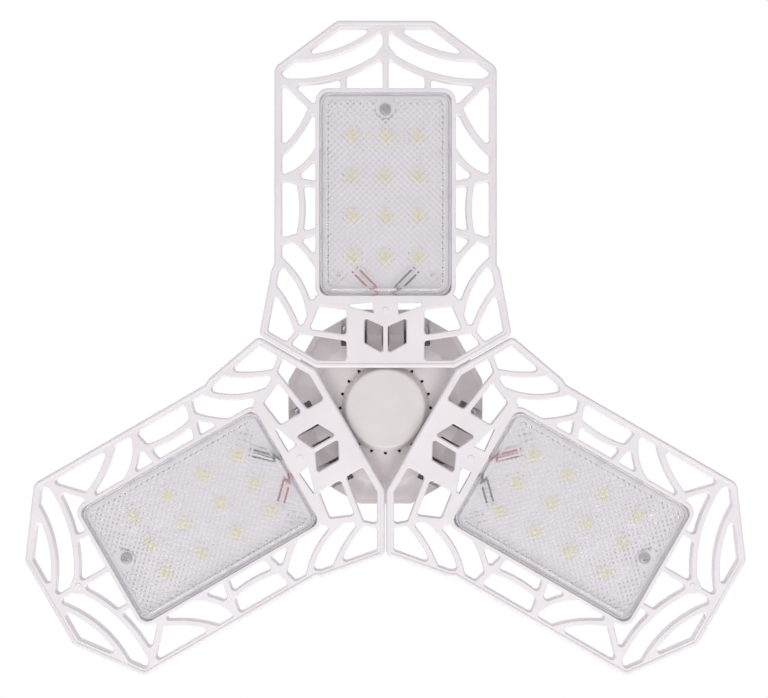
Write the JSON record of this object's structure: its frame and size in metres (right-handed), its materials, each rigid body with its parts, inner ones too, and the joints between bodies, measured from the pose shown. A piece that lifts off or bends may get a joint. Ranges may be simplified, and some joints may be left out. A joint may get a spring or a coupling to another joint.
{
  "type": "ceiling light",
  "caption": "Screw-in ceiling light with a faceted hub and folding web-framed panels, each with light chips behind a prismatic lens.",
  "frame": {"origin": "centre of the screw cap's skirt where it meets the neck's shoulder", "axes": "+Z along the lamp's axis, up into the socket; +Y along panel a, away from the axis"},
  "size_m": [0.3246, 0.2949, 0.1026],
  "materials": {
    "cap_metal": "nickel-plated, satin",
    "cap_insulator": "black moulded insulator",
    "hub_plastic": "satin moulded plastic",
    "panel_plastic": "semi-gloss moulded plastic",
    "lens_clear": "clear, prismatic inside",
    "board_white": "white solder mask on aluminium",
    "chip_phosphor": "yellow phosphor in a white frame",
    "screw_steel": "zinc plated",
    "driver_laminate": "green solder mask",
    "black_sleeve": "black sleeve and moulding",
    "copper_winding": "enamelled copper",
    "red_insulation": "red silicone insulation",
    "black_insulation": "black silicone insulation"
  },
  "bodies": {
    "hub": {"contact_tip": "cap_metal", "cap_insulator": "cap_insulator", "screw_shell": "cap_metal", "upper_housing": "hub_plastic", "lower_housing": "hub_plastic", "centre_cap": "hub_plastic", "housing_screws": "screw_steel", "driver_board": "driver_laminate", "filter_capacitor": "black_sleeve", "choke": "copper_winding", "rectifier_chips": "black_sleeve", "live_lead": "red_insulation", "neutral_lead": "black_insulation", "red_feed_a": "red_insulation", "black_feed_a": "black_insulation", "hinge_screws_a": "screw_steel", "hinge_nuts_a": "screw_steel", "red_feed_b": "red_insulation", "black_feed_b": "black_insulation", "hinge_screws_b": "screw_steel", "hinge_nuts_b": "screw_steel", "red_feed_c": "red_insulation", "black_feed_c": "black_insulation", "hinge_screws_c": "screw_steel", "hinge_nuts_c": "screw_steel"},
    "panel_a": {"panel_frame_a": "panel_plastic", "light_board_a": "board_white", "light_chips_a": "chip_phosphor", "lens_a": "lens_clear", "board_screw_a": "screw_steel", "red_lead_a": "red_insulation", "black_lead_a": "black_insulation"},
    "panel_b": {"panel_frame_b": "panel_plastic", "light_board_b": "board_white", "light_chips_b": "chip_phosphor", "lens_b": "lens_clear", "board_screw_b": "screw_steel", "red_lead_b": "red_insulation", "black_lead_b": "black_insulation"},
    "panel_c": {"panel_frame_c": "panel_plastic", "light_board_c": "board_white", "light_chips_c": "chip_phosphor", "lens_c": "lens_clear", "board_screw_c": "screw_steel", "red_lead_c": "red_insulation", "black_lead_c": "black_insulation"}
  },
  "joints": [
    {"name": "panel_a_fold", "type": "hinge", "parent": "hub", "child": "panel_a", "pos_m": [0, 0.035, -0.0585], "axis": [1, 0, 0], "range_deg": [0, 90]},
    {"name": "panel_b_fold", "type": "hinge", "parent": "hub", "child": "panel_b", "pos_m": [-0.03031, -0.0175, -0.0585], "axis": [-0.5, 0.866, 0], "range_deg": [0, 90]},
    {"name": "panel_c_fold", "type": "hinge", "parent": "hub", "child": "panel_c", "pos_m": [0.03031, -0.0175, -0.0585], "axis": [-0.5, -0.866, 0], "range_deg": [0, 90]}
  ]
}
